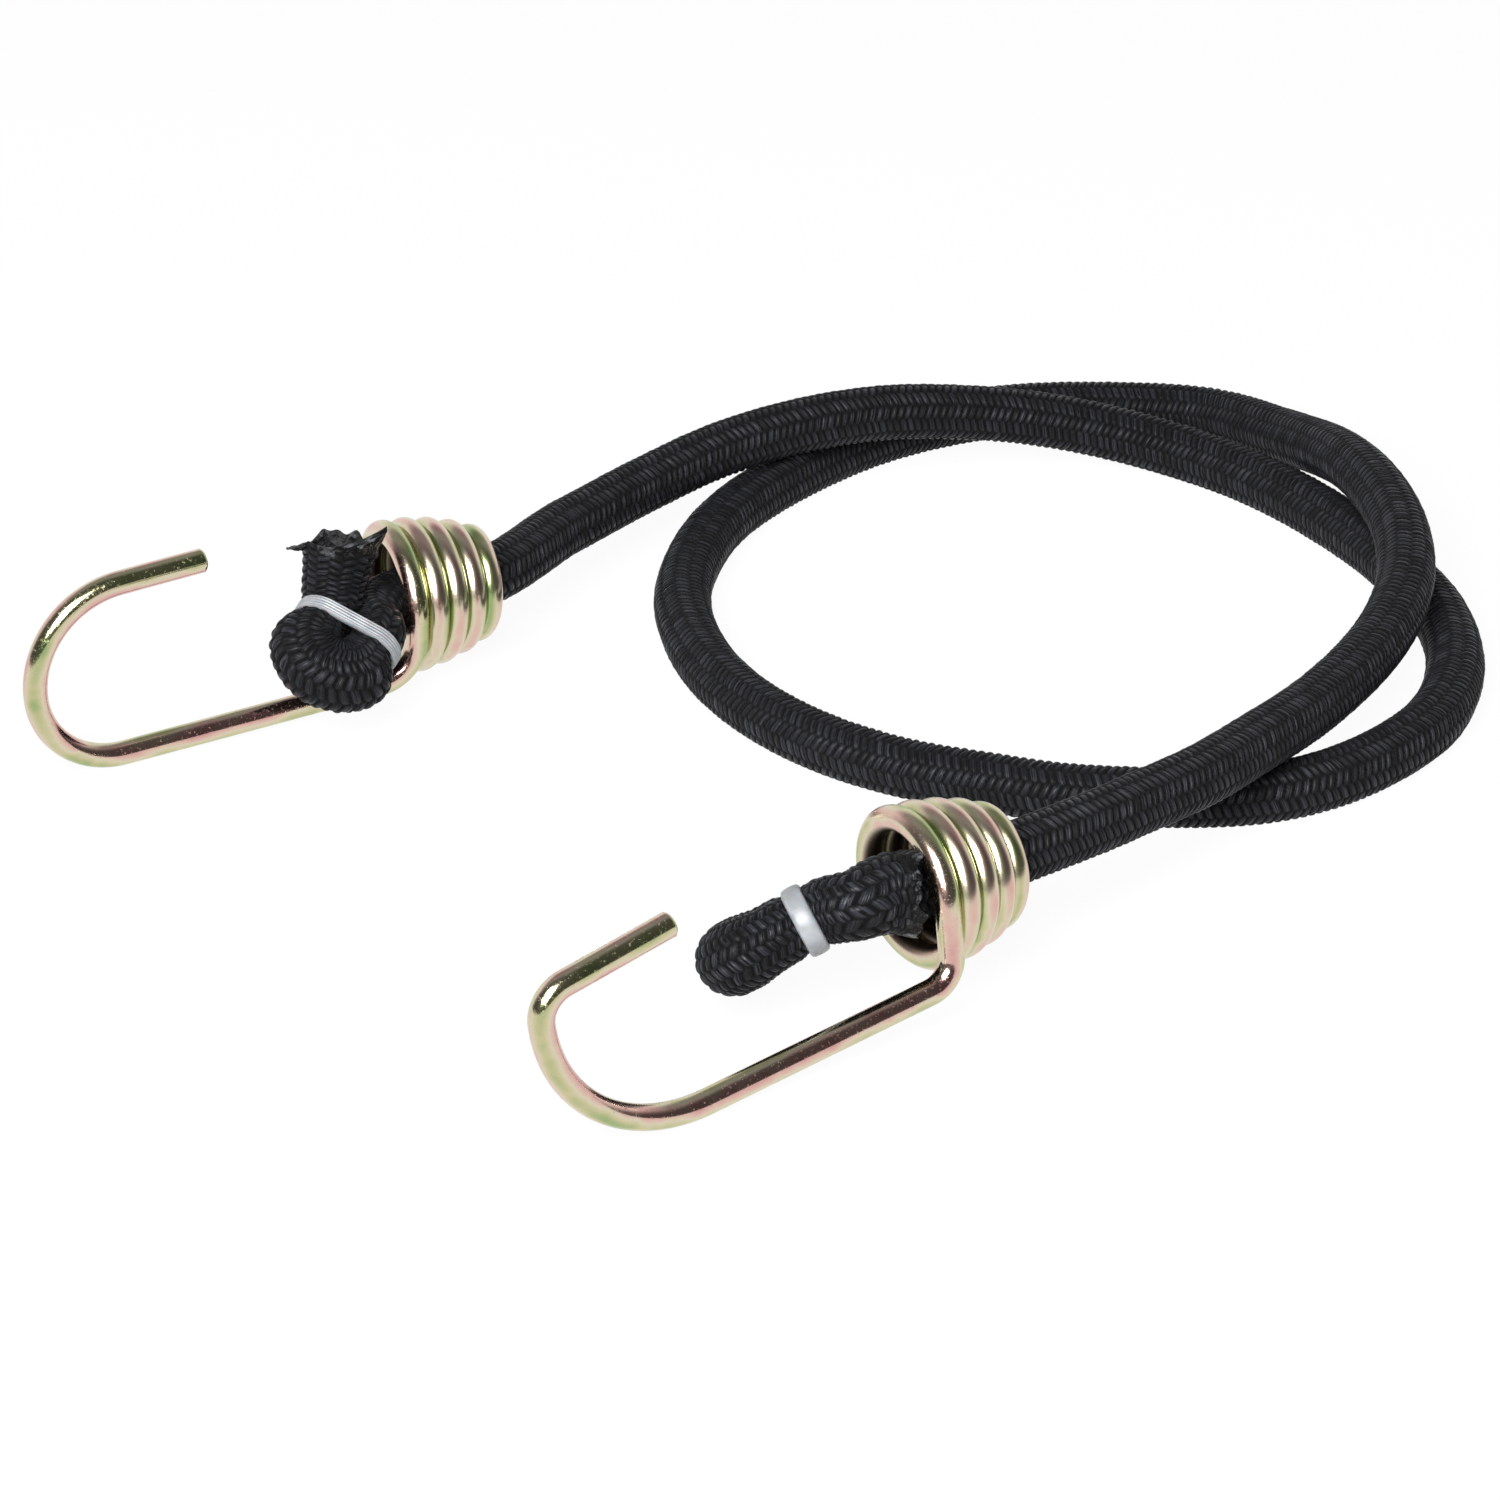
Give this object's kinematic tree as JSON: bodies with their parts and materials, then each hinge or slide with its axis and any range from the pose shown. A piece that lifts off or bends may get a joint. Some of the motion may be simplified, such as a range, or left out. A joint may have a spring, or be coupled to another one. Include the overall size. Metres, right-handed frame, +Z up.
{
  "type": "bungee cord",
  "caption": "Round elastic tie-down cord with a black braided cover, lying in a loose double loop, with a folded and banded end wedged in the tapered coil of an open wire hook at each end.",
  "frame": {"origin": "on the table, midway between the outer edges of the two hooked ends", "axes": "+X to the right along the loop, +Y away from the hooks towards the far side of the loop, +Z up from the table"},
  "size_m": [0.2453, 0.2768, 0.0361],
  "materials": {
    "zinc_plated_wire": "yellow passivated zinc plate on drawn steel wire, bright, with faint pink and green tints",
    "braided_polyester": "black polyester braid, fine diamond weave with a soft sheen",
    "rubber_strands": "natural latex strands, matte, seen only at the cut ends",
    "natural_nylon": "undyed nylon band, translucent and slightly ribbed"
  },
  "bodies": {
    "cord": {"cord_sheath": "braided_polyester", "cord_core": "rubber_strands"},
    "end_a": {"end_sheath_a": "braided_polyester", "end_core_a": "rubber_strands", "band_a": "natural_nylon"},
    "hook_a": {"hook_a": "zinc_plated_wire"},
    "end_b": {"end_sheath_b": "braided_polyester", "end_core_b": "rubber_strands", "band_b": "natural_nylon"},
    "hook_b": {"hook_b": "zinc_plated_wire"}
  },
  "joints": [
    {"name": "stretch_a", "type": "slide", "parent": "cord", "child": "end_a", "axis": [-0.614, -0.7893, 0], "range_m": [0, 0.06], "stiffness_N_per_m": 800},
    {"name": "hook_a_swivel", "type": "hinge", "parent": "end_a", "child": "hook_a", "pos_m": [-0.0339, 0.06521, 0.01354], "axis": [-0.8813, -0.4726, 0], "range_deg": [-170, 4]},
    {"name": "stretch_b", "type": "slide", "parent": "cord", "child": "end_b", "axis": [-0.6895, -0.7243, 0], "range_m": [0, 0.06], "stiffness_N_per_m": 800},
    {"name": "hook_b_swivel", "type": "hinge", "parent": "end_b", "child": "hook_b", "pos_m": [0.05145, -0.04742, 0.01751], "axis": [-0.8191, -0.5736, 0], "range_deg": [-75, 180]}
  ]
}
